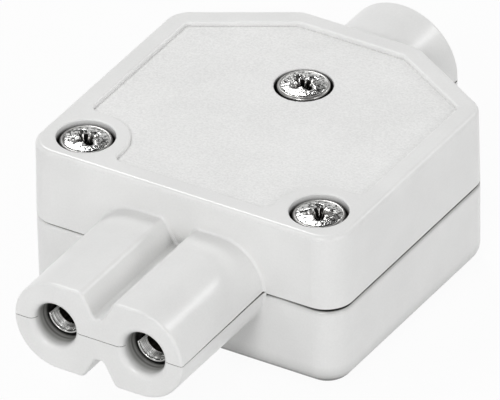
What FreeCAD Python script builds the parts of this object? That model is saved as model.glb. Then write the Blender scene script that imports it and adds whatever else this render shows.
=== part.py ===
import FreeCAD, Part
import math
import os

V = FreeCAD.Vector

# Two-pin interface
pin_pitch = 8.6
pin_d = 2.4
pin_clearance = 0.05

# Nose, a figure eight seen from the front
nose_length = 13.0
nose_width = 16.3
nose_height = 8.35
notch_mouth = 3.1
notch_floor = 0.8
notch_depth = 2.15
notch_mouth_r = 0.6
notch_floor_r = 0.4
nose_front_r = 0.25
nose_root_r = 0.25
mouth_r = 0.6
entry_d = 3.9
entry_depth = 2.4
channel_d = 3.5

# Case
body_width = 30.4
side_length = 24.0
rear_width = 11.4
rear_cut_y = 5.45
upper_height = 7.1
lower_height = 7.95
front_corner_r = 2.5
rear_corner_r = 2.4
draft_deg = 0.5
top_edge_r = 0.45
bottom_edge_r = 1.8
wall = 1.8
roof = 2.0
floor = 2.0

# Joint between the two shells
rim_gap = 0.2
rim_gap_depth = 1.0
rim_edge_r = 0.35
rim_edge_lap = 0.03
nose_gap_front = 0.06
nose_gap_depth = 0.6
lip_height = 0.9
lip_clearance = 0.1

# Recessed panel of the top
panel_inset = 1.9
panel_depth = 0.4
panel_edge_r = 0.18
panel_corner_r = 0.9
island_r = 3.75

# Collar and cord
collar_length = 6.8
collar_width = 10.8
collar_height = 11.5
collar_edge_r = 0.35
cord_bore_d = 6.6
cord_bore_flare = 0.4

# Case screws and their threaded inserts
front_screw_side = 3.85
front_screw_y = 3.7
rear_screw_back = 9.45
counterbore_d = 5.06
counterbore_edge_r = 0.12
screw_head_d = 4.56
screw_head_height = 2.1
screw_head_below_top = 0.07
screw_dome_height = 0.35
screw_shoulder_r = 0.5
screw_tip_bevel = 0.4
screw_d = 2.5
screw_length = 10.0
screw_clearance = 0.2
recess_d = 2.9
recess_floor_d = 1.1
recess_slot = 0.75
recess_depth = 1.3
front_left_turn = 53.0
front_right_turn = 32.0
rear_turn = 62.0
insert_d = 4.0
insert_length = 5.0
insert_waist_d = 3.5
insert_waist = 0.8
boss_wall = 0.9
thread_clearance = 0.02

# Contacts
sleeve_set_back = 1.8
sleeve_d = 3.2
sleeve_bore_d = pin_d + 2 * pin_clearance
sleeve_flare = 0.07
sleeve_flare_length = 0.5
sleeve_rim = 0.12
sleeve_mouth_length = 0.9
seam_angle = 166.0
seam_open_deg = 33.0
spring_back = 6.0
spring_width = 2.0
spring_thickness = 0.3
spring_gap_deg = 60.0
spring_clearance = 0.15

# Terminals
terminal_width = 5.0
terminal_length = 7.6
terminal_height = 5.0
terminal_corner_r = 0.5
terminal_set_back = 0.2
sleeve_grip = 3.0
wire_hole_depth = 4.2
terminal_screw_d = 2.5
terminal_screw_length = 3.0
terminal_screw_lift = 0.1
driver_slot = 0.5
driver_slot_depth = 0.7
terminal_screw_bevel = 0.3

# Ribs inside the case
barrier = 1.4
guide_rib = 0.8
guide_clearance = 0.15
hold_down_rib = 1.2
hold_down_width = 3.0
hold_down_clearance = 0.1

# Cord clamp
clamp_behind_boss = 0.45
clamp_bar_width = 3.3
clamp_bar_thickness = 1.4
clamp_bar_above_axis = 2.3
clamp_ridge = 0.5
clamp_screw_pitch = 9.8
clamp_screw_d = 2.0
clamp_screw_length = 7.0
clamp_screw_head_d = 3.6
clamp_screw_head_height = 1.1
clamp_screw_bevel = 0.3
clamp_post_d = 3.4
clamp_saddle_width = 1.7
clamp_saddle_top_below_axis = 1.65
clamp_saddle_below_axis = 3.3
clamp_hole_clearance = 0.15

# Fine detail and tolerances
sliver = 0.01
over = 1.0

# Places that follow from the sizes above
rear_cut_x = (body_width - rear_width) / 2
front_screw_x = body_width / 2 - front_screw_side
body_length = side_length + rear_cut_y
total_length = nose_length + body_length + collar_length
nose_front = -total_length / 2
body_front = nose_front + nose_length
body_rear = body_front + body_length
collar_end = body_rear + collar_length
parting = lower_height
top = parting + upper_height
ceiling = top - roof
floor_top = floor
panel_z = top - panel_depth
head_seat = top - screw_head_below_top - screw_head_height
front_y = body_front + front_screw_y
rear_y = body_rear - rear_screw_back
terminal_front = body_front + wall + terminal_set_back
terminal_rear = terminal_front + terminal_length
terminal_top = parting + terminal_height / 2
terminal_bottom = parting - terminal_height / 2
sleeve_front = nose_front + sleeve_set_back
sleeve_rear = terminal_front + sleeve_grip
upper_boss_r = counterbore_d / 2 + boss_wall
lower_boss_r = insert_d / 2 + boss_wall
clamp_y = rear_y + upper_boss_r + clamp_behind_boss + clamp_bar_width / 2
clamp_seat = parting + clamp_bar_above_axis

case_screws = {
    "front_left": (-front_screw_x, front_y, front_left_turn),
    "front_right": (front_screw_x, front_y, front_right_turn),
    "rear": (0.0, rear_y, rear_turn),
}
sides = {"left": -1, "right": 1}


def rounded_wire(corners, point):
    """Closed wire through corners (u, v, radius); point(u, v) places a corner in space."""
    count = len(corners)
    stops = []
    for i in range(count):
        u, v, r = corners[i]
        before = V(corners[i - 1][0] - u, corners[i - 1][1] - v, 0).normalize()
        after = V(corners[(i + 1) % count][0] - u, corners[(i + 1) % count][1] - v, 0).normalize()
        half = before.getAngle(after) / 2
        here = V(u, v, 0)
        if r <= 0:
            stops.append((here, here, here))
            continue
        reach = r / math.tan(half)
        middle_line = (before + after).normalize()
        middle = here + middle_line * (r / math.sin(half) - r)
        stops.append((here + before * reach, middle, here + after * reach))
    edges = []
    for i in range(count):
        start, middle, end = stops[i]
        if (end - start).Length > 1e-6:
            edges.append(Part.Arc(point(*start[:2]), point(*middle[:2]), point(*end[:2])).toShape())
        following = stops[(i + 1) % count][0]
        if (following - end).Length > 1e-6:
            edges.append(Part.LineSegment(point(*end[:2]), point(*following[:2])).toShape())
    return Part.Wire(edges)


def inset(corners, distance):
    """The same counter-clockwise outline moved in by a distance, its round corners with it."""
    count = len(corners)
    moved = []
    for i in range(count):
        here = V(corners[i][0], corners[i][1], 0)
        before = (here - V(corners[i - 1][0], corners[i - 1][1], 0)).normalize()
        after = (V(corners[(i + 1) % count][0], corners[(i + 1) % count][1], 0) - here).normalize()
        n1 = V(-before.y, before.x, 0)
        n2 = V(-after.y, after.x, 0)
        shift = (n1 + n2) * (distance / (1 + n1.dot(n2)))
        turn_left = before.cross(after).z > 0
        radius = corners[i][2] - distance if turn_left else corners[i][2] + distance
        moved.append((here.x + shift.x, here.y + shift.y, max(radius, 0.05)))
    return moved


def flat_at(z):
    return lambda u, v: V(u, v, z)


def upright_at(y):
    return lambda u, v: V(u, y, v)


def prism(corners, z_low, z_high):
    face = Part.Face(rounded_wire(corners, flat_at(z_low)))
    return face.extrude(V(0, 0, z_high - z_low))


def y_prism(corners, y_low, y_high):
    face = Part.Face(rounded_wire(corners, upright_at(y_low)))
    return face.extrude(V(0, y_high - y_low, 0))


def box(x_low, x_high, y_low, y_high, z_low, z_high):
    return Part.makeBox(x_high - x_low, y_high - y_low, z_high - z_low, V(x_low, y_low, z_low))


def post(x, y, z_low, z_high, d):
    return Part.makeCylinder(d / 2, z_high - z_low, V(x, y, z_low))


def y_rod(x, z, y_low, y_high, d):
    return Part.makeCylinder(d / 2, y_high - y_low, V(x, y_low, z), V(0, 1, 0))


def turned(x, y, profile):
    """Solid of revolution about a vertical axis from (radius, z) points and arcs."""
    edges = []
    for piece in profile:
        points = [V(x + r, y, z) for r, z in piece]
        if len(points) == 2:
            edges.append(Part.LineSegment(*points).toShape())
        else:
            edges.append(Part.Arc(*points).toShape())
    return Part.Face(Part.Wire(edges)).revolve(V(x, y, 0), V(0, 0, 1), 360)


def case_outline():
    """Plan of the case where the shells meet, counter-clockwise from the front left corner."""
    half = body_width / 2
    shoulder = body_front + side_length
    return [
        (-half, body_front, front_corner_r),
        (half, body_front, front_corner_r),
        (half, shoulder, rear_corner_r),
        (half - rear_cut_x, body_rear, rear_corner_r),
        (-half + rear_cut_x, body_rear, rear_corner_r),
        (-half, shoulder, rear_corner_r),
    ]


def panel_outline():
    """Plan of the recessed panel, which leaves a raised island round each front screw."""
    half = body_width / 2 - panel_inset
    low = body_front + panel_inset
    island_x = front_screw_x - island_r
    island_y = front_y + island_r
    rear_part = inset(case_outline(), panel_inset)[2:]
    return [
        (-island_x, low, panel_corner_r),
        (island_x, low, panel_corner_r),
        (island_x, island_y, island_r),
        (half, island_y, panel_corner_r),
    ] + rear_part[:4] + [
        (-half, island_y, panel_corner_r),
        (-island_x, island_y, island_r),
    ]


def draft_at(height):
    return height * math.tan(math.radians(draft_deg))


def drafted(levels):
    """Solid through the case outline at each (z, distance in) level, with flat sides."""
    wires = [rounded_wire(inset(case_outline(), d), flat_at(z)) for z, d in levels]
    return Part.makeLoft(wires, True, True)


def edges_at(shape, z):
    return [e for e in shape.Edges if abs(e.BoundBox.ZMin - z) < 1e-4 and abs(e.BoundBox.ZMax - z) < 1e-4]


def nose_profile():
    """Front view of the nose: two lobes with a groove between them above and below."""
    half_w, half_h = nose_width / 2, nose_height / 2
    mouth, bottom = notch_mouth / 2, notch_floor / 2
    level = half_h - notch_depth
    lobe = half_h - sliver
    upper = [
        (half_w, half_h, lobe),
        (mouth, half_h, notch_mouth_r),
        (bottom, level, notch_floor_r),
        (-bottom, level, notch_floor_r),
        (-mouth, half_h, notch_mouth_r),
        (-half_w, half_h, lobe),
    ]
    lower = [(-u, -v, r) for u, v, r in upper]
    return [(u, v + parting, r) for u, v, r in upper + lower]


def collar_profile():
    half_w, half_h = collar_width / 2, collar_height / 2
    corners = [(half_w, half_h), (-half_w, half_h), (-half_w, -half_h), (half_w, -half_h)]
    return [(u, v + parting, half_w - sliver) for u, v in corners]


def nose_and_collar():
    nose = y_prism(nose_profile(), nose_front, body_front + wall)
    front = [e for e in nose.Edges if abs(e.BoundBox.YMax - nose_front) < 1e-4]
    nose = nose.makeFillet(nose_front_r, front)
    collar = y_prism(collar_profile(), body_rear - wall, collar_end)
    back = [e for e in collar.Edges if abs(e.BoundBox.YMin - collar_end) < 1e-4]
    return nose.fuse(collar.makeFillet(collar_edge_r, back))


def side_of_parting(shape, upper):
    reach = total_length + body_width
    low, high = (parting, parting + reach) if upper else (parting - reach, parting)
    return shape.common(box(-reach, reach, -reach, reach, low, high))


def rounded_entry(x):
    """Entry in front of a contact channel, a little wider than it, with a rounded mouth."""
    r, bulge = entry_d / 2, mouth_r * math.sqrt(0.5)
    centre = (r + mouth_r, nose_front + mouth_r)
    bottom = nose_front + entry_depth
    places = [(0, nose_front), (centre[0], nose_front), (centre[0] - bulge, centre[1] - bulge),
              (r, centre[1]), (r, bottom), (0, bottom)]
    points = [V(x + u, y, parting) for u, y in places]
    edges = [Part.LineSegment(points[0], points[1]).toShape(), Part.Arc(*points[1:4]).toShape()]
    edges += [Part.LineSegment(a, b).toShape() for a, b in zip(points[3:], points[4:] + points[:1])]
    return Part.Face(Part.Wire(edges)).revolve(V(x, 0, parting), V(0, 1, 0), 360)


def contact_channels():
    """What is cut for the contacts: mouths, channels and the room for the spring rings."""
    cuts = []
    for side in sides.values():
        x = side * pin_pitch / 2
        room = sleeve_d + 2 * (spring_thickness + spring_clearance)
        start = sleeve_front + spring_back - spring_clearance
        cuts += [
            rounded_entry(x),
            y_rod(x, parting, nose_front, body_front + wall, channel_d),
            y_rod(x, parting, start, start + spring_width + 2 * spring_clearance, room),
        ]
    return cuts


def cord_bore():
    r, start = cord_bore_d / 2, body_rear - wall
    flare = Part.makeCone(r + cord_bore_flare, r, cord_bore_flare, V(0, start, parting), V(0, 1, 0))
    return y_rod(0, parting, start, collar_end, cord_bore_d).fuse(flare)


def cavity(z_low, z_high):
    return prism(inset(case_outline(), wall), z_low, z_high)


def barrier_rib(z_low, z_high):
    half = barrier / 2
    return box(-half, half, body_front + wall / 2, terminal_rear + wall, z_low, z_high)


def lip_ring(outer, inner, height, end_clearance):
    """Ring that locates the shells, left out across the nose and behind the cord clamp."""
    ring = prism(inset(case_outline(), outer), parting, parting + height)
    ring = ring.cut(prism(inset(case_outline(), inner), parting, parting + height))
    front_half = nose_width / 2 - end_clearance
    rear_half = rear_width / 2 + wall - end_clearance
    for half, y_low, y_high in ((front_half, body_front, body_front + 2 * wall),
                                (rear_half, body_rear - 2 * wall, body_rear)):
        ring = ring.cut(box(-half, half, y_low, y_high, parting, parting + height))
    return ring


def upper_shell():
    outer = drafted([(parting, 0), (top, draft_at(upper_height))])
    outer = outer.makeFillet(top_edge_r, edges_at(outer, top))
    outer = outer.cut(prism(panel_outline(), panel_z, top + over))
    border = rounded_wire(case_outline(), flat_at(top))
    rim = [e for e in edges_at(outer, top) if e.distToShape(border)[0] > panel_inset / 2]
    outer = outer.makeFillet(panel_edge_r, rim)
    shell = with_nose_and_collar(outer, True)
    shell = shell.cut(Part.makeCompound([cavity(parting, ceiling)] + nose_gap_cuts()))
    room = boss_room(parting, top - roof / 2)
    posts = [post(x, y, parting, top - roof / 2, 2 * upper_boss_r).common(room)
             for x, y, _ in case_screws.values()]
    shell = shell.multiFuse(posts + [barrier_rib(parting, ceiling)] + hold_down_ribs())
    rebate = lip_ring(rim_gap_depth, wall + lip_clearance, lip_height + lip_clearance, lip_clearance)
    shell = shell.cut(rebate)
    holes = contact_channels() + [cord_bore()]
    for x, y, _ in case_screws.values():
        holes.append(post(x, y, head_seat, top + over, counterbore_d))
        holes.append(post(x, y, parting, head_seat, screw_d + 2 * screw_clearance))
    shell = shell.cut(Part.makeCompound(holes)).removeSplitter()
    return shell.makeFillet(counterbore_edge_r, counterbore_rims(shell))


def counterbore_rims(shell):
    return [e for e in shell.Edges if e.Closed and e.BoundBox.ZLength < 1e-4
            and e.BoundBox.ZMin > head_seat + counterbore_edge_r
            and abs(e.BoundBox.XLength - counterbore_d) < 1e-3]


def boss_room(z_low, z_high):
    """The room that a boss may fill, so that none shows through the rounded corners."""
    return prism(inset(case_outline(), wall / 2), z_low, z_high)


def hold_down_ribs():
    ribs = []
    for side in sides.values():
        x = side * pin_pitch / 2
        y = terminal_front + hold_down_rib
        ribs.append(box(x - hold_down_width / 2, x + hold_down_width / 2, y - hold_down_rib / 2,
                        y + hold_down_rib / 2, terminal_top + hold_down_clearance, ceiling))
    return ribs


def with_nose_and_collar(outer, upper):
    """The case shell with its half of the nose and collar, rounded where the nose leaves the case."""
    shell = outer.fuse(side_of_parting(nose_and_collar(), upper))
    drift = draft_at(upper_height + lower_height)
    root = [e for e in shell.Edges
            if abs(e.BoundBox.YMin - body_front) < drift and e.BoundBox.YLength < drift
            and abs(e.BoundBox.Center.x) < nose_width / 2 + sliver
            and abs(e.BoundBox.Center.z - parting) < nose_height / 2 + sliver
            and e.BoundBox.ZMax - parting < nose_height / 2 + sliver
            and parting - e.BoundBox.ZMin < nose_height / 2 + sliver
            and e.BoundBox.XLength < nose_width - sliver]
    return shell.makeFillet(nose_root_r, root)


def rim_gap_cut():
    """The thin gap between the rims, round the case and the collar, with the lower rim rounded into it."""
    rim = parting - rim_gap
    low, reach = rim - rim_edge_r, total_length
    below = drafted([(0, draft_at(lower_height) - rim_edge_lap), (rim, draft_at(rim_gap) - rim_edge_lap)])
    below = below.makeFillet(rim_edge_r, edges_at(below, rim))
    inside, side = collar_width / 2 - rim_gap_depth, collar_width / 2 + over
    kept = below.multiFuse([
        prism(inset(case_outline(), rim_gap_depth), low, parting),
        box(-side, side, body_rear - wall, collar_end, low, rim),
        box(-inside, inside, body_rear - wall, collar_end, low, parting),
        box(-nose_width / 2, nose_width / 2, body_front, body_front + wall, low, parting),
    ])
    return box(-reach, reach, body_front, reach, low, parting).cut(kept)


def nose_gap_cuts():
    """A gap along the nose's sides that closes towards its front, and a fine line across its face."""
    reach = nose_width / 2 + nose_root_r
    cuts = [box(-reach, reach, nose_front, nose_front + nose_gap_depth, parting, parting + nose_gap_front)]
    for side in sides.values():
        inner = side * (nose_width / 2 - nose_gap_depth)
        edges = [V(inner, nose_front, parting), V(inner, body_front, parting),
                 V(inner, body_front, parting + rim_gap), V(inner, nose_front, parting + nose_gap_front)]
        face = Part.Face(Part.makePolygon(edges + edges[:1]))
        cuts.append(face.extrude(V(side * (nose_gap_depth + nose_root_r), 0, 0)))
    return cuts


def lower_shell():
    outer = drafted([(0, draft_at(lower_height)), (parting, 0)])
    outer = outer.makeFillet(bottom_edge_r, edges_at(outer, 0))
    shell = with_nose_and_collar(outer, False)
    shell = shell.cut(cavity(floor_top, parting)).cut(rim_gap_cut())
    room = boss_room(floor / 2, parting)
    posts = [post(x, y, floor / 2, parting, 2 * lower_boss_r).common(room) for x, y, _ in case_screws.values()]
    ribs = [barrier_rib(floor_top, parting)] + terminal_beds() + clamp_posts()
    lip = lip_ring(rim_gap_depth + lip_clearance, wall, lip_height, 0)
    shell = shell.multiFuse(posts + ribs + [lip])
    holes = contact_channels() + [cord_bore()] + clamp_pilot_holes()
    for x, y, _ in case_screws.values():
        holes.append(post(x, y, parting - insert_length - rim_gap, parting, insert_d + 2 * thread_clearance))
        holes.append(post(x, y, head_seat - screw_length - rim_gap, parting, screw_d + 2 * screw_clearance))
    shell = shell.cut(Part.makeCompound(holes))
    return shell.removeSplitter()


def terminal_beds():
    """Pedestals under the terminal blocks, with a rib outside each to keep them in line."""
    beds = []
    front = body_front + wall / 2
    half = terminal_width / 2
    for side in sides.values():
        x = side * pin_pitch / 2
        inner, outer = x - side * half, x + side * (half + guide_clearance + guide_rib)
        guide = x + side * (half + guide_clearance)
        beds.append(box(*sorted((inner, outer)), front, terminal_rear, floor_top, terminal_bottom))
        beds.append(box(*sorted((guide, outer)), front, terminal_rear, floor_top, parting - rim_gap))
    return beds


def clamp_places():
    return [(side * clamp_screw_pitch / 2, clamp_y) for side in sides.values()]


def clamp_posts():
    """Two posts that carry the clamp bar, and the saddle that the cord lies in between them."""
    posts = [post(x, y, floor_top, clamp_seat, clamp_post_d) for x, y in clamp_places()]
    half = clamp_screw_pitch / 2
    saddle = box(-half, half, clamp_y - clamp_saddle_width / 2, clamp_y + clamp_saddle_width / 2, floor_top,
                 parting - clamp_saddle_top_below_axis)
    trough = y_rod(0, parting + cord_bore_d / 2 - clamp_saddle_below_axis, clamp_y - clamp_post_d,
                   clamp_y + clamp_post_d, cord_bore_d)
    return posts + [saddle.cut(trough)]


def clamp_pilot_holes():
    tip = clamp_seat + clamp_bar_thickness - clamp_screw_length
    return [post(x, y, tip, clamp_seat, clamp_screw_d + 2 * thread_clearance) for x, y in clamp_places()]


def cross_recess(x, y, z_top, turn):
    """Two crossed tapered slots, deepest at the middle."""
    half, half_floor, low = recess_d / 2, recess_floor_d / 2, z_top - recess_depth
    side_view = Part.makePolygon([V(-half, 0, z_top), V(-half_floor, 0, low), V(half_floor, 0, low),
                                  V(half, 0, z_top), V(half, 0, z_top + over), V(-half, 0, z_top + over),
                                  V(-half, 0, z_top)])
    slot = Part.Face(side_view).extrude(V(0, recess_slot, 0))
    slot.translate(V(0, -recess_slot / 2, 0))
    across = slot.copy()
    across.rotate(V(0, 0, 0), V(0, 0, 1), 90)
    cross = slot.fuse(across)
    cross.rotate(V(0, 0, 0), V(0, 0, 1), turn)
    cross.translate(V(x, y, 0))
    return cross


def case_screw(x, y, turn):
    r, head_r = screw_d / 2, screw_head_d / 2
    tip, seat = head_seat - screw_length, head_seat
    head_top = seat + screw_head_height
    shoulder_z = head_top - screw_dome_height
    side_z = shoulder_z - screw_shoulder_r
    flat_r = head_r - screw_shoulder_r
    bulge = screw_shoulder_r * math.sqrt(0.5)
    mid_rise = 0.75 * screw_dome_height
    tip_r = r - screw_tip_bevel
    profile = [
        [(0, tip), (tip_r, tip)],
        [(tip_r, tip), (r, tip + screw_tip_bevel)],
        [(r, tip + screw_tip_bevel), (r, seat)],
        [(r, seat), (head_r, seat)],
        [(head_r, seat), (head_r, side_z)],
        [(head_r, side_z), (flat_r + bulge, side_z + bulge), (flat_r, shoulder_z)],
        [(flat_r, shoulder_z), (flat_r / 2, shoulder_z + mid_rise), (0, head_top)],
        [(0, head_top), (0, tip)],
    ]
    return turned(x, y, profile).cut(cross_recess(x, y, head_top, turn))


def threaded_insert(x, y):
    r, waist_r, bore_r = insert_d / 2, insert_waist_d / 2, screw_d / 2 + thread_clearance
    low, high = parting - insert_length - rim_gap, parting - rim_gap
    middle = (low + high) / 2
    body = post(x, y, low, high, insert_d)
    groove = post(x, y, middle - insert_waist / 2, middle + insert_waist / 2, 2 * (r + over))
    body = body.cut(groove.cut(post(x, y, low, high, 2 * waist_r)))
    return body.cut(post(x, y, low, high, 2 * bore_r))


def sector(x, y_low, y_high, angle, width, reach):
    """Wedge about the sleeve's axis, for cutting an opening of the given width in degrees."""
    first, last = (math.radians(angle + s * width / 2) for s in (-1, 1))
    tips = [V(x, y_low, parting)]
    tips += [V(x + reach * math.cos(a), y_low, parting + reach * math.sin(a)) for a in (first, last)]
    return Part.Face(Part.makePolygon(tips + tips[:1])).extrude(V(0, y_high - y_low, 0))


def contact_sleeve(side):
    """Turned sleeve with an open seam and a thin flared rim, countersunk to lead the pin in."""
    x = side * pin_pitch / 2
    outer, inner = sleeve_d / 2, sleeve_bore_d / 2
    rim_out = outer + sleeve_flare
    section = [
        (inner, sleeve_rear), (inner, sleeve_front + sleeve_mouth_length),
        (rim_out - sleeve_rim, sleeve_front), (rim_out, sleeve_front),
        (outer, sleeve_front + sleeve_flare_length), (outer, sleeve_rear),
    ]
    points = [V(x + r, y, parting) for r, y in section]
    face = Part.Face(Part.makePolygon(points + points[:1]))
    tube = face.revolve(V(x, 0, parting), V(0, 1, 0), 360)
    return tube.cut(sector(x, sleeve_front - over, sleeve_rear + over, seam_angle, seam_open_deg, sleeve_d))


def contact_spring(side):
    x = side * pin_pitch / 2
    low = sleeve_front + spring_back
    high = low + spring_width
    ring = y_rod(x, parting, low, high, sleeve_d + 2 * spring_thickness)
    ring = ring.cut(y_rod(x, parting, low, high, sleeve_d))
    return ring.cut(sector(x, low - over, high + over, seam_angle - 180, spring_gap_deg, sleeve_d))


def terminal_screw_place(side):
    return side * pin_pitch / 2, terminal_rear - wire_hole_depth / 2


def terminal_block(side):
    x, screw_y = terminal_screw_place(side)
    half = terminal_width / 2
    block = box(x - half, x + half, terminal_front, terminal_rear, terminal_bottom, terminal_top)
    upright = [e for e in block.Edges if e.BoundBox.ZLength > terminal_height - 1e-4]
    block = block.makeFillet(terminal_corner_r, upright)
    holes = [
        y_rod(x, parting, terminal_front, terminal_rear, sleeve_d),
        post(x, screw_y, parting, terminal_top, terminal_screw_d + 2 * thread_clearance),
    ]
    return block.cut(Part.makeCompound(holes))


def slotted(rod, x, y, z_top, d):
    return rod.cut(box(x - d, x + d, y - driver_slot / 2, y + driver_slot / 2, z_top - driver_slot_depth, z_top))


def terminal_screw(side):
    x, y = terminal_screw_place(side)
    tip = parting + sleeve_d / 2 + terminal_screw_lift
    r = terminal_screw_d / 2
    tip_r = r - terminal_screw_bevel
    high = tip + terminal_screw_length
    rod = turned(x, y, [
        [(0, tip), (tip_r, tip)],
        [(tip_r, tip), (r, tip + terminal_screw_bevel)],
        [(r, tip + terminal_screw_bevel), (r, high)],
        [(r, high), (0, high)],
        [(0, high), (0, tip)],
    ])
    return slotted(rod, x, y, high, terminal_screw_d)


def cord_clamp_bar():
    """Flat bar with round ends and a ridge beneath that bites the cord's sheath."""
    half, r = clamp_screw_pitch / 2, clamp_bar_width / 2
    end = half + r
    round_end = r - sliver
    corners = [(-end, clamp_y - r, round_end), (end, clamp_y - r, round_end),
               (end, clamp_y + r, round_end), (-end, clamp_y + r, round_end)]
    bar = prism(corners, clamp_seat, clamp_seat + clamp_bar_thickness)
    reach = half - clamp_post_d / 2 - clamp_ridge
    ridge = box(-reach, reach, clamp_y - clamp_ridge, clamp_y + clamp_ridge,
                clamp_seat - clamp_ridge, clamp_seat + clamp_ridge)
    bar = bar.fuse(ridge)
    for x, y in clamp_places():
        bar = bar.cut(post(x, y, clamp_seat, clamp_seat + clamp_bar_thickness,
                           clamp_screw_d + 2 * clamp_hole_clearance))
    return bar.removeSplitter()


def cord_clamp_screw(side):
    x, y = side * clamp_screw_pitch / 2, clamp_y
    seat = clamp_seat + clamp_bar_thickness
    r, head_r, high = clamp_screw_d / 2, clamp_screw_head_d / 2, seat + clamp_screw_head_height
    tip = seat - clamp_screw_length
    rim_r, rim_z = head_r - clamp_screw_bevel, high - clamp_screw_bevel
    rod = turned(x, y, [
        [(0, tip), (r, tip + r)],
        [(r, tip + r), (r, seat)],
        [(r, seat), (head_r, seat)],
        [(head_r, seat), (head_r, rim_z)],
        [(head_r, rim_z), (rim_r, high)],
        [(rim_r, high), (0, high)],
        [(0, high), (0, tip)],
    ])
    return slotted(rod, x, y, high, clamp_screw_head_d)


def build():
    nodes = {"upper_shell": upper_shell(), "lower_shell": lower_shell(), "cord_clamp_bar": cord_clamp_bar()}
    for name, (x, y, turn) in case_screws.items():
        nodes["case_screw_" + name] = case_screw(x, y, turn)
        nodes["threaded_insert_" + name] = threaded_insert(x, y)
    for name, side in sides.items():
        nodes["contact_sleeve_" + name] = contact_sleeve(side)
        nodes["contact_spring_" + name] = contact_spring(side)
        nodes["terminal_block_" + name] = terminal_block(side)
        nodes["terminal_screw_" + name] = terminal_screw(side)
        nodes["cord_clamp_screw_" + name] = cord_clamp_screw(side)
    return nodes


os.makedirs("parts", exist_ok=True)
for node, shape in build().items():
    shape.exportStep("parts/" + node + ".step")
    print(node, shape.isValid(), len(shape.Solids), round(shape.Volume, 2))
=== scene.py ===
import math
import bpy
import numpy as np
from mathutils import Matrix, Vector


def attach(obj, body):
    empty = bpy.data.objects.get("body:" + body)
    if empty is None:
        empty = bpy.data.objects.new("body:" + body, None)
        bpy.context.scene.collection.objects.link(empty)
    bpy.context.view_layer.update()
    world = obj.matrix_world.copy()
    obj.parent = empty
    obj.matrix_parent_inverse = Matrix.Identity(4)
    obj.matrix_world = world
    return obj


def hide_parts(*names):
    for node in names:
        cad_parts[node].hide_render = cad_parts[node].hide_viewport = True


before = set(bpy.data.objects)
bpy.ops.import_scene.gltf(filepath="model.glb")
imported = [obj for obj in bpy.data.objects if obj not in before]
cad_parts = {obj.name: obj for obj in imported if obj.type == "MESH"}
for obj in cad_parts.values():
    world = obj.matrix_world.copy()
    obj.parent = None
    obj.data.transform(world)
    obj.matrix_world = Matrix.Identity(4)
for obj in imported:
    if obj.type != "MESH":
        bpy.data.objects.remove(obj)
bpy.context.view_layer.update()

MM = 0.001

# Sizes repeated from the part's source, in millimetres
parting_z = 7.95
case_top_z = 15.05
nose_front_y = -24.625
nose_length = 13.0
entry_r = 1.95
panel_z = 14.65
screw_places = {
    "front_left": (-11.35, -7.925),
    "front_right": (11.35, -7.925),
    "rear": (0.0, 8.375),
}
head_d = 4.56
head_height = 2.1
head_top_z = case_top_z - 0.07
shank_d = 2.5
screw_length = 10.0
contact_x = {"left": -4.3, "right": 4.3}
contact_front_y, contact_rear_y = -22.825, -6.625
contact_outer_r, contact_bore_r = 1.6, 1.25

# Fine forms that only this script draws, in millimetres and degrees
recess_turn_deg = {"front_left": 53.0, "front_right": 32.0, "rear": 62.0}
first_ring_r = 0.02
dome_height = 0.24
shoulder_r = 0.30
seat_edge = 0.12
rim_line_r = 1.97
rim_line_depth = 0.05
rim_line_width = 0.04
recess_reach = 1.42
recess_floor_reach = 0.5
recess_width = 0.86
recess_tip_share = 0.86  # An arm's width at its tip, as a share of its width at the middle
recess_depth = 1.2
recess_edge_r = 0.11
recess_wall = 0.75  # Reach of the slanted wall, as a share of the arm's half width
recess_end_share = 0.75  # How far along its smooth step an arm's slanted end gets
thread_pitch = 0.8
thread_depth = 0.22
thread_run_out = 0.6
thread_from = 0.1
shank_root = 0.05
shank_tip_share = 0.62
lip_r = 0.1
lip_reach = 1.67
lip_flare = 0.5
countersink = 0.9
seam_from_deg, seam_to_deg = 189.0, 149.5
tool_mark_pitch, tool_mark_depth = 0.15, 0.089
marks_from, marks_fade_out = 0.04, 0.1

# Sharpness of the round forms
head_around, head_steps, shoulder_steps, shank_steps = 240, 76, 8, 110
contact_around, cone_steps, lip_steps = 150, 61, 9


def colour(hex_code):
    """An sRGB hex colour as the linear values that the shaders take."""
    parts = [int(hex_code[i:i + 2], 16) / 255 for i in (1, 3, 5)]
    linear = [c / 12.92 if c <= 0.04045 else ((c + 0.055) / 1.055) ** 2.4 for c in parts]
    return (*linear, 1.0)


WHITE = (1, 1, 1, 1)


# Camera: stands to the right of the nose and looks down on the top at the photograph's angle
def add_camera():
    turn, tilt, roll = (math.radians(v) for v in (31.948, 33.234, -1.116))
    distance, lens = 1400.0, 1220.2
    target = Vector((0, nose_front_y, parting_z))
    aside, above = 12.554, 11.632
    back = Vector((math.sin(turn) * math.cos(tilt), -math.cos(turn) * math.cos(tilt), math.sin(tilt)))
    level = Vector((math.cos(turn), math.sin(turn), 0))
    upright = back.cross(level)
    right = math.cos(roll) * level + math.sin(roll) * upright
    up = -math.sin(roll) * level + math.cos(roll) * upright
    place = (target + aside * right + above * up + distance * back) * MM
    data = bpy.data.cameras.new("camera")
    data.sensor_width, data.sensor_fit, data.lens = 36, "HORIZONTAL", lens
    data.clip_end = 20
    cam = bpy.data.objects.new("camera", data)
    columns = (right, up, back, place)
    cam.matrix_world = Matrix([[c[row] for c in columns] for row in range(3)] + [[0, 0, 0, 1]])
    bpy.context.scene.collection.objects.link(cam)
    bpy.context.scene.camera = cam


# Materials
def new_material(name):
    mat = bpy.data.materials.new(name)
    mat.use_nodes = True
    mat.node_tree.nodes.clear()
    return mat


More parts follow.
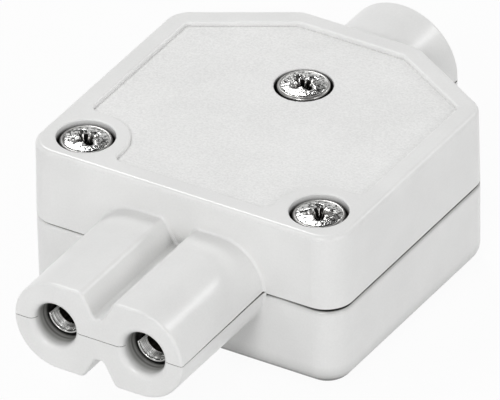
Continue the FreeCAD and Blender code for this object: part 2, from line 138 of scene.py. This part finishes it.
def add(owner, kind, inputs=None, stops=(), **settings):
    """Adds a node to a material or a world. settings name its properties, or its sockets with _ for a space; inputs
    name or number sockets, each with a value or the socket that feeds it; stops are a ramp's places and colours."""
    node = owner.node_tree.nodes.new(kind)
    for key, value in settings.items():
        if hasattr(node, key):
            setattr(node, key, value)
        else:
            node.inputs[key.replace("_", " ")].default_value = value
    for socket, value in (inputs or {}).items():
        if isinstance(value, bpy.types.NodeSocket):
            owner.node_tree.links.new(value, node.inputs[socket])
        else:
            node.inputs[socket].default_value = value
    if stops:
        elements = node.color_ramp.elements
        for element, (place, shade) in zip((elements[0], elements[-1]), (stops[0], stops[-1])):
            element.position, element.color = place, colour(shade)
        for place, shade in stops[1:-1]:
            elements.new(place).color = colour(shade)
    return node


def in_millimetres(mat, stretch=(1, 1, 1)):
    """Object coordinates in millimetres, so that a pattern's scale is one over its real size. A stretch below 1
    draws the pattern out along that axis."""
    place = add(mat, "ShaderNodeTexCoord")
    scale = tuple(1000 * s for s in stretch)
    return add(mat, "ShaderNodeMapping", {"Vector": place.outputs["Object"]}, Scale=scale).outputs[0]


def finish_material(mat, shader):
    add(mat, "ShaderNodeOutputMaterial", {"Surface": shader.outputs[0]})
    return mat


def to_contact_axis(mat, place):
    """Distance in millimetres from the nearer contact's axis."""
    aside = add(mat, "ShaderNodeMath", {0: place.outputs["X"]}, operation="ABSOLUTE")
    along = add(mat, "ShaderNodeCombineXYZ", {"X": aside.outputs[0], "Z": place.outputs["Z"]})
    apart = add(mat, "ShaderNodeVectorMath", {0: along.outputs[0], 1: (contact_x["right"], 0, parting_z)},
                operation="DISTANCE")
    return apart.outputs["Value"]


def painted_entry_shade(mat, place):
    """White, with painted shade inside the two entries: grey rings that darken to near black with depth behind the
    nose's front.
    """
    hidden_behind_lip = 0.4
    wall_at, wall_end = entry_r + 0.05, entry_r + 0.12
    depth_in = add(mat, "ShaderNodeMapRange", {"Value": place.outputs["Y"]}, From_Min=nose_front_y,
                   From_Max=contact_front_y + hidden_behind_lip)
    # Painted shade: rings of grey, darkest deep inside the entry
    rings = add(mat, "ShaderNodeValToRGB", {"Fac": depth_in.outputs[0]}, stops=(
        (0.0, "#FFFFFF"), (0.32, "#F6F6F6"), (0.43, "#D2D2D0"), (0.50, "#B2B2B0"), (0.60, "#BEBEBC"),
        (0.66, "#807F7D"), (0.71, "#807F7D"), (0.76, "#B6B6B4"), (0.86, "#A2A2A0"), (0.94, "#5A5A58"),
        (1.0, "#1E1D1C")))
    inside = add(mat, "ShaderNodeMapRange", {"Value": to_contact_axis(mat, place)}, From_Min=wall_at,
                 From_Max=wall_end, To_Min=1.0, To_Max=0.0)
    in_nose = add(mat, "ShaderNodeMath", {0: place.outputs["Y"], 1: nose_front_y + nose_length},
                  operation="LESS_THAN")
    share = add(mat, "ShaderNodeMath", {0: in_nose.outputs[0], 1: inside.outputs[0]}, operation="MULTIPLY")
    shaded_entries = add(mat, "ShaderNodeMix", {"Factor": share.outputs[0], "A": WHITE, "B": rings.outputs[0]},
                 data_type="RGBA")
    return shaded_entries.outputs["Result"]


def painted_joint_shade(mat, place):
    """White, with painted shade: the dark line of the shadow in the joint just under the parting plane, with soft
    painted shade below it, growing towards the right side.
    """
    line_below, line_above = 0.7, 0.1
    no_shade_x, full_shade_x = 8, 14
    height = add(mat, "ShaderNodeMapRange", {"Value": place.outputs["Z"]}, From_Min=parting_z - line_below,
                 From_Max=parting_z + line_above)
    # Painted shadow of the joint, with a soft painted shade under it
    line = add(mat, "ShaderNodeValToRGB", {"Fac": height.outputs[0]}, stops=(
        (0.0, "#FFFFFF"), (0.25, "#F4F4F4"), (0.52, "#CCCCCB"), (0.56, "#464645"), (0.90, "#464645"),
        (0.94, "#FFFFFF"), (1.0, "#FFFFFF")))
    rightwards = add(mat, "ShaderNodeMapRange", {"Value": place.outputs["X"]}, From_Min=no_shade_x,
                     From_Max=full_shade_x)
    joint = add(mat, "ShaderNodeMix", {"Factor": rightwards.outputs[0], "A": WHITE, "B": line.outputs[0]},
                data_type="RGBA")
    return joint.outputs["Result"]


def painted_foot_shade(mat, place):
    """White, with a painted grey line of shade round the bottom edge, where the rounded underside turns towards the
    floor.
    """
    line_top_z = 2.2
    height = add(mat, "ShaderNodeMapRange", {"Value": place.outputs["Z"]}, From_Max=line_top_z)
    # Painted shade, darkest just above the floor
    line = add(mat, "ShaderNodeValToRGB", {"Fac": height.outputs[0]}, stops=(
        (0.0, "#FFFFFF"), (0.10, "#E0E0DF"), (0.20, "#747473"), (0.35, "#747473"), (0.43, "#D4D4D3"),
        (0.62, "#F0F0F0"), (1.0, "#FFFFFF")))
    return line.outputs[0]


def moulded_polyamide():
    """White polyamide, injection moulded: the recessed top panel has the spark-eroded grain of its tool, the rest was
    polished and has a soft gloss. Painted shade darkens every joint and corner. There is also a painted dark line
    along the joint that grows towards the right side, a painted grey line round the bottom edge, and painted rings of
    shade that darken with depth inside the two entries."""
    mat = new_material("moulded_polyamide")
    here = in_millimetres(mat)
    place = add(mat, "ShaderNodeSeparateXYZ", {"Vector": here})
    height_margin = 0.03
    panel = add(mat, "ShaderNodeMath", {0: place.outputs["Z"], 1: panel_z, 2: height_margin}, operation="COMPARE")

    # The plastic: broad faint clouds, and fine grain that is strong only on the panel. Eroded grain is about
    # 0.03 mm; it is drawn at 0.2 mm, the finest that shows.
    cloud_mm, grain_mm = 6.0, 0.2
    cloud = add(mat, "ShaderNodeTexNoise", {"Vector": here}, Scale=1 / cloud_mm, Detail=3.0)
    grain = add(mat, "ShaderNodeTexNoise", {"Vector": here}, Scale=1 / grain_mm, Detail=2.0, Roughness=0.65)
    tint = add(mat, "ShaderNodeValToRGB", {"Fac": cloud.outputs["Fac"]},
               stops=((0.35, "#E6E6E5"), (0.65, "#EBEBEA")))
    fleck = add(mat, "ShaderNodeMapRange", {"Value": grain.outputs["Fac"]}, From_Min=0.3, From_Max=0.7,
                To_Min=0.93, To_Max=1.07)
    fleck_share = add(mat, "ShaderNodeMapRange", {"Value": panel.outputs[0]}, To_Min=0.25, To_Max=1.0)
    flecked = add(mat, "ShaderNodeVectorMath", {0: tint.outputs[0], 1: fleck.outputs[0]}, operation="MULTIPLY")
    plain = add(mat, "ShaderNodeMix", {"Factor": fleck_share.outputs[0], "A": tint.outputs[0],
                                       "B": flecked.outputs[0]}, data_type="RGBA")

    # Painted shade: grey in the corners by ambient occlusion, then three painted marks of shade
    corner_occlusion = add(mat, "ShaderNodeAmbientOcclusion", Distance=1.8 * MM, samples=8)
    unshaded_share = add(mat, "ShaderNodeMapRange", {"Value": corner_occlusion.outputs["AO"]}, From_Min=0.10, From_Max=0.52)
    corner_shade = add(mat, "ShaderNodeMix", {"Factor": unshaded_share.outputs[0], "A": colour("#4E4D4B"),
                                      "B": plain.outputs["Result"]}, data_type="RGBA")
    base = corner_shade.outputs["Result"]
    # Multiplies in the painted shade of the joint, the bottom edge and the two entries
    for painted_shade in (painted_joint_shade, painted_foot_shade, painted_entry_shade):
        base = add(mat, "ShaderNodeVectorMath", {0: base, 1: painted_shade(mat, place)}, operation="MULTIPLY").outputs[0]

    gloss = add(mat, "ShaderNodeMapRange", {"Value": panel.outputs[0]}, To_Min=0.29, To_Max=0.46)
    depth = add(mat, "ShaderNodeMapRange", {"Value": panel.outputs[0]}, To_Min=0.10, To_Max=1.0)
    bump = add(mat, "ShaderNodeBump", {"Height": grain.outputs["Fac"], "Strength": depth.outputs[0]},
               Distance=0.03 * MM)
    shader = add(mat, "ShaderNodeBsdfPrincipled",
                 {"Base Color": base, "Roughness": gloss.outputs[0], "Normal": bump.outputs[0]}, IOR=1.53)
    return finish_material(mat, shader)


def cold_headed_steel():
    """Bright zinc on a cold-headed screw: smooth on the rim and on the cross's walls, and between them rough from the
    punch, so that black and white specks lie side by side. Object coordinates start on the screw's axis."""
    mat = new_material("cold_headed_steel")
    here = in_millimetres(mat)
    speck_mm = 0.24
    sunk_from_z, sunk_full_z = head_top_z - 0.20, head_top_z - 0.30

    # Where: struck is inside the rim line, sunk is down in the cross
    flat = add(mat, "ShaderNodeVectorMath", {0: here, 1: (1, 1, 0)}, operation="MULTIPLY")
    reach = add(mat, "ShaderNodeVectorMath", {0: flat.outputs[0]}, operation="LENGTH")
    struck = add(mat, "ShaderNodeMapRange", {"Value": reach.outputs["Value"]}, From_Min=rim_line_r + 0.04,
                 From_Max=rim_line_r - 0.06)
    place = add(mat, "ShaderNodeSeparateXYZ", {"Vector": here})
    below = add(mat, "ShaderNodeMapRange", {"Value": place.outputs["Z"]}, From_Min=sunk_from_z,
                From_Max=sunk_full_z)
    within = add(mat, "ShaderNodeMath", {0: reach.outputs["Value"], 1: recess_reach + 0.1}, operation="LESS_THAN")
    sunk = add(mat, "ShaderNodeMath", {0: below.outputs[0], 1: within.outputs[0]}, operation="MULTIPLY")

    each = add(mat, "ShaderNodeObjectInfo")
    specks = add(mat, "ShaderNodeTexNoise", {"Vector": here, "W": each.outputs["Random"]}, noise_dimensions="4D",
                 Scale=1 / speck_mm, Detail=3.0, Roughness=0.6)
    tint = add(mat, "ShaderNodeValToRGB", {"Fac": specks.outputs["Fac"]},
               stops=((0.41, "#4A4A49"), (0.54, "#ECECEA")))
    walls = add(mat, "ShaderNodeMix", {"Factor": sunk.outputs[0], "A": tint.outputs[0], "B": colour("#A9A8A6")},
                data_type="RGBA")
    finish = add(mat, "ShaderNodeMix", {"Factor": struck.outputs[0], "A": colour("#B9B8B6"),
                                        "B": walls.outputs["Result"]}, data_type="RGBA")
    # Painted shade: darker where the head is closed in, in the cross and at its seat, by ambient occlusion
    corner_occlusion = add(mat, "ShaderNodeAmbientOcclusion", Distance=0.8 * MM, samples=6)
    open_to_light = add(mat, "ShaderNodeMapRange", {"Value": corner_occlusion.outputs["AO"]}, From_Min=0.45, From_Max=0.85)
    base = add(mat, "ShaderNodeMix", {"Factor": open_to_light.outputs[0], "A": colour("#3A3937"),
                                      "B": finish.outputs["Result"]}, data_type="RGBA")

    gloss = add(mat, "ShaderNodeMapRange", {"Value": struck.outputs[0]}, To_Min=0.34, To_Max=0.14)
    rough_part = add(mat, "ShaderNodeMath", {0: struck.outputs[0], 1: sunk.outputs[0]}, operation="SUBTRACT")
    depth = add(mat, "ShaderNodeMapRange", {"Value": rough_part.outputs[0]}, To_Min=0.06, To_Max=1.0)
    bump = add(mat, "ShaderNodeBump", {"Height": specks.outputs["Fac"], "Strength": depth.outputs[0]},
               Distance=0.055 * MM)
    shader = add(mat, "ShaderNodeBsdfPrincipled",
                 {"Base Color": base.outputs["Result"], "Roughness": gloss.outputs[0], "Normal": bump.outputs[0]},
                 Metallic=1.0)
    return finish_material(mat, shader)


def worked_metal(name, dark, light, roughness, line_mm, stretch=(1, 0.06, 1), relief=0.8, metallic=1.0):
    """Metal with fine tool lines line_mm apart: drawn ones run along Y, turned ones are rings about it. A coarse saw
    cut scatters light, so it is made less metallic."""
    mat = new_material(name)
    here = in_millimetres(mat, stretch)
    lines = add(mat, "ShaderNodeTexNoise", {"Vector": here}, Scale=1 / line_mm, Detail=3.0)
    tint = add(mat, "ShaderNodeValToRGB", {"Fac": lines.outputs["Fac"]}, stops=((0.35, dark), (0.6, light)))
    gloss = add(mat, "ShaderNodeMapRange", {"Value": lines.outputs["Fac"]},
                To_Min=roughness - 0.06, To_Max=roughness + 0.08)
    bump = add(mat, "ShaderNodeBump", {"Height": lines.outputs["Fac"]}, Strength=relief, Distance=0.02 * MM)
    shader = add(mat, "ShaderNodeBsdfPrincipled",
                 {"Base Color": tint.outputs[0], "Roughness": gloss.outputs[0], "Normal": bump.outputs[0]},
                 Metallic=metallic)
    return finish_material(mat, shader)


# Pieces
def mesh_piece(name, points, faces, material):
    mesh = bpy.data.meshes.new(name)
    mesh.from_pydata([tuple(p) for p in points], [], faces)
    mesh.update()
    mesh.polygons.foreach_set("use_smooth", [True] * len(mesh.polygons))
    mesh.materials.append(material)
    piece = bpy.data.objects.new(name, mesh)
    bpy.context.scene.collection.objects.link(piece)
    return piece


def smooth_step(x):
    x = np.clip(x, 0, 1)
    return x * x * (3 - 2 * x)


def recess_at(u, v):
    """Depth of the struck cross below the head's surface, with softly rounded edges."""
    def arm(along, across):
        taper = np.clip((recess_reach - np.abs(along)) / (recess_reach - recess_floor_reach), 0, 1)
        half = recess_width / 2 * (recess_tip_share + (1 - recess_tip_share) * taper)
        inside = smooth_step((half + recess_edge_r - np.abs(across)) / (2 * recess_edge_r + recess_wall * half))
        return recess_depth * smooth_step(taper * recess_end_share) * inside
    return np.maximum(arm(u, v), arm(v, u))


def head_rings(angle, turn_deg):
    """Rings of the round head, from the middle of its top to the shank's root."""
    def ring(r, z):
        return np.stack([r * np.cos(angle), r * np.sin(angle), z + np.zeros(len(angle))], 1)

    head_r = head_d / 2
    flat_r = head_r - shoulder_r
    seat_z = head_top_z - head_height
    turn = math.radians(turn_deg)
    rings = []
    for r in np.linspace(first_ring_r, flat_r, head_steps):
        top = ring(r, 0.0)
        u = top[:, 0] * math.cos(turn) + top[:, 1] * math.sin(turn)
        v = -top[:, 0] * math.sin(turn) + top[:, 1] * math.cos(turn)
        rim_line = rim_line_depth * math.exp(-((r - rim_line_r) / rim_line_width) ** 2)
        top[:, 2] = head_top_z - dome_height * (r / flat_r) ** 2 - recess_at(u, v) - rim_line
        rings.append(top)
    for t in np.linspace(0, math.pi / 2, shoulder_steps + 1)[1:]:
        drop = shoulder_r * (1 - math.cos(t))
        rings.append(ring(flat_r + shoulder_r * math.sin(t), head_top_z - dome_height - drop))
    rings.append(ring(head_r, seat_z + seat_edge))
    rings.append(ring(head_r - seat_edge, seat_z))
    rings.append(ring(shank_d / 2 + shank_root, seat_z))
    return rings


def shank_rings(angle):
    """Rings of the threaded shank, which narrows at its tip."""
    seat_z = head_top_z - head_height
    tip_z = seat_z - screw_length
    rings = []
    for z in np.linspace(seat_z - thread_from, tip_z, shank_steps):
        phase = (z / thread_pitch - angle / (2 * math.pi)) % 1.0
        thread = thread_depth * np.abs(2 * phase - 1) * smooth_step((seat_z - thread_run_out - z) / thread_run_out)
        narrowing = shank_tip_share + (1 - shank_tip_share) * smooth_step((z - tip_z) / thread_run_out)
        r = (shank_d / 2 - thread) * narrowing
        rings.append(np.stack([r * np.cos(angle), r * np.sin(angle), z + np.zeros(len(angle))], 1))
    return rings


def screw_head_and_shank(name, x, y, turn_deg, material):
    """Round head with a struck cross inside a rim line, and a threaded shank below, as one closed skin."""
    angle = np.linspace(0, 2 * math.pi, head_around, endpoint=False)
    rings = head_rings(angle, turn_deg) + shank_rings(angle)
    faces = []
    for k in range(len(rings) - 1):
        a, b = k * head_around, (k + 1) * head_around
        faces += [(a + i, b + i, b + (i + 1) % head_around, a + (i + 1) % head_around) for i in range(head_around)]
    faces.append(tuple(range(head_around)))
    last = (len(rings) - 1) * head_around
    faces.append(tuple(last + i for i in reversed(range(head_around))))
    screw = mesh_piece(name, np.concatenate(rings) * MM, faces, material)
    screw.location = (x * MM, y * MM, 0)
    return screw


def contact_section():
    """The contact sleeve's outline as radius and depth behind its front: outside, lip, countersink with its tool
    marks, bore. The bore's line runs between the last two points."""
    length = contact_rear_y - contact_front_y
    cone_r = lip_reach - 2 * lip_r
    depth = np.linspace(0, countersink, cone_steps)
    fade = smooth_step((countersink - depth) / marks_fade_out) * smooth_step((depth - marks_from) / marks_from)
    marks = tool_mark_depth * fade * (0.5 - depth / tool_mark_pitch % 1.0)
    cone = cone_r - (cone_r - contact_bore_r) * depth / countersink + marks
    lip = [(lip_reach - lip_r + lip_r * math.cos(t), lip_r - lip_r * math.sin(t))
           for t in np.linspace(0, math.pi, lip_steps)]
    return ([(contact_outer_r, length), (contact_outer_r, lip_flare)] + lip
            + [(r, d + lip_r) for r, d in zip(cone, depth)] + [(contact_bore_r, length)])


def turned_contact(name, x, material, sawn, dark_bore):
    """Contact sleeve, turned to its outline and sawn open along one side."""
    section = contact_section()
    count = len(section)
    steps = np.radians(np.linspace(seam_from_deg, seam_to_deg + 360, contact_around))
    points = [(r * math.cos(a), contact_front_y + d, parting_z + r * math.sin(a)) for a in steps for r, d in section]
    faces = [(k * count + i, k * count + (i + 1) % count, (k + 1) * count + (i + 1) % count, (k + 1) * count + i)
             for k in range(len(steps) - 1) for i in range(count)]
    ends = [tuple(reversed(range(count))), tuple(range(len(points) - count, len(points)))]
    contact = mesh_piece(name, (np.array(points) + [x, 0, 0]) * MM, faces + ends, material)
    contact.data.materials.append(sawn)
    contact.data.materials.append(dark_bore)
    sawn_slot, bore_slot = 1, 2
    # The bore's faces take the nearly black finish that paints the shade deep inside the contact
    for k in range(len(steps) - 1):
        contact.data.polygons[k * count + count - 2].material_index = bore_slot
    for face in contact.data.polygons[len(faces):]:
        face.material_index, face.use_smooth = sawn_slot, False
    return contact


add_camera()
shell = moulded_polyamide()
screw_steel = cold_headed_steel()
# The contacts gleam with faint turned rings; their sawn end is pale and matt, and the bore behind is painted nearly
# black as painted shade deep inside
nickel = worked_metal("nickel_plated_turned_brass", "#B4B4B2", "#F7F7F6", 0.24, 0.14, (0.05, 1, 0.05), 0.2)
sawn_edge = worked_metal("sawn_brass_edge", "#F0EFEC", "#FDFCFA", 0.55, 0.08, metallic=0.1)
painted_dark_bore = worked_metal("bore_in_painted_shade", "#2E2B26", "#56524A", 0.5, 0.3)
# Inside the case, and seen only when it is open: yellow brass, bright zinc and the grey of a tempered spring
brass = worked_metal("drawn_brass", "#A8853F", "#D9BC7A", 0.3, 0.2)
small_screws = worked_metal("zinc_plated_steel", "#A9A8A4", "#DEDDDA", 0.28, 0.15)
spring = worked_metal("spring_steel", "#77787A", "#AEB0B2", 0.3, 0.12)

finishes = {"upper_shell": shell, "lower_shell": shell, "cord_clamp_bar": shell}
for name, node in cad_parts.items():
    if name in finishes:
        finish = finishes[name]
    elif name.startswith("contact_sleeve"):
        finish = nickel
    elif name.startswith("contact_spring"):
        finish = spring
    elif "screw" in name:
        finish = small_screws
    else:
        finish = brass
    node.data.materials.clear()
    node.data.materials.append(finish)

for side, x in contact_x.items():
    contact = turned_contact("turned_contact_" + side, x, nickel, sawn_edge, painted_dark_bore)
    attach(contact, "root")
    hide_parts("contact_sleeve_" + side)

for place, (x, y) in screw_places.items():
    screw = screw_head_and_shank("cross_head_screw_" + place, x, y, recess_turn_deg[place], screw_steel)
    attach(screw, "root")
    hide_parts("case_screw_" + place)


# Floor, world and lamps
def white_card():
    """White card. Most of its brightness to the camera is its own, so that only a light shadow shows on it."""
    own_share = 0.95
    mat = new_material("white_card")
    ray = add(mat, "ShaderNodeLightPath")
    seen = add(mat, "ShaderNodeMath", {0: ray.outputs["Is Camera Ray"], 1: ray.outputs["Is Glossy Ray"]},
               operation="MAXIMUM")
    share = add(mat, "ShaderNodeMath", {0: seen.outputs[0], 1: own_share}, operation="MULTIPLY")
    card = add(mat, "ShaderNodeBsdfDiffuse", Color=colour("#D6D6D6"))
    own = add(mat, "ShaderNodeEmission", Color=WHITE, Strength=1.0)
    mixed = add(mat, "ShaderNodeMixShader", {0: share.outputs[0], 1: card.outputs[0], 2: own.outputs[0]})
    return finish_material(mat, mixed)


def add_floor():
    """The card lies a hair below the part, so that the two undersides don't share a plane."""
    half, z = 3.0, -0.02 * MM
    corners = [(-half, -half, z), (half, -half, z), (half, half, z), (-half, half, z)]
    floor = mesh_piece("floor", corners, [(0, 1, 2, 3)], white_card())


def add_world():
    """White walls round the table and a dimmer ceiling, which is what metal needs to look like metal."""
    wall_light, ceiling_light = 0.95, 0.08
    wall_top, ceiling_edge = 0.1, 0.85
    world = bpy.data.worlds.new("studio")
    world.use_nodes = True
    place = add(world, "ShaderNodeTexCoord")
    apart = add(world, "ShaderNodeSeparateXYZ", {0: place.outputs["Generated"]})
    level = add(world, "ShaderNodeMapRange", {"Value": apart.outputs["Z"]}, interpolation_type="SMOOTHSTEP",
                From_Min=wall_top, From_Max=ceiling_edge, To_Min=wall_light, To_Max=ceiling_light)
    background = world.node_tree.nodes["Background"]
    background.inputs["Color"].default_value = WHITE
    world.node_tree.links.new(level.outputs["Result"], background.inputs["Strength"])
    bpy.context.scene.world = world


def add_lamp(name, bearing, height, size_mm, power):
    """A round soft box that looks at the part; its bearing turns from the nose's side towards +X, in degrees."""
    turn, rise = math.radians(bearing), math.radians(height)
    data = bpy.data.lights.new(name, "AREA")
    data.shape, data.size, data.energy = "DISK", size_mm * MM, power
    lamp = bpy.data.objects.new(name, data)
    towards = Vector((math.sin(turn) * math.cos(rise), -math.cos(turn) * math.cos(rise), math.sin(rise)))
    lamp.location = towards * lamp_reach * MM + Vector((0, 0, parting_z * MM))
    lamp.rotation_euler = (-towards).to_track_quat("-Z", "Y").to_euler()
    bpy.context.scene.collection.objects.link(lamp)


lamp_reach = 1000.0  # Millimetres from the part to each lamp

add_floor()
add_world()
# Name, bearing, height in degrees, size in millimetres, power in watts
add_lamp("soft_box_behind", 231, 52, 300, 3.45)
add_lamp("soft_box_front", 10, 36, 300, 3.2)
add_lamp("edge_lamp_left", 321, 45, 150, 0.8)
add_lamp("reflector_right", 85, 25, 400, 1.7)
add_lamp("edge_lamp_right", 148, 33, 160, 0.8)
bpy.context.scene.view_settings.view_transform = "Standard"
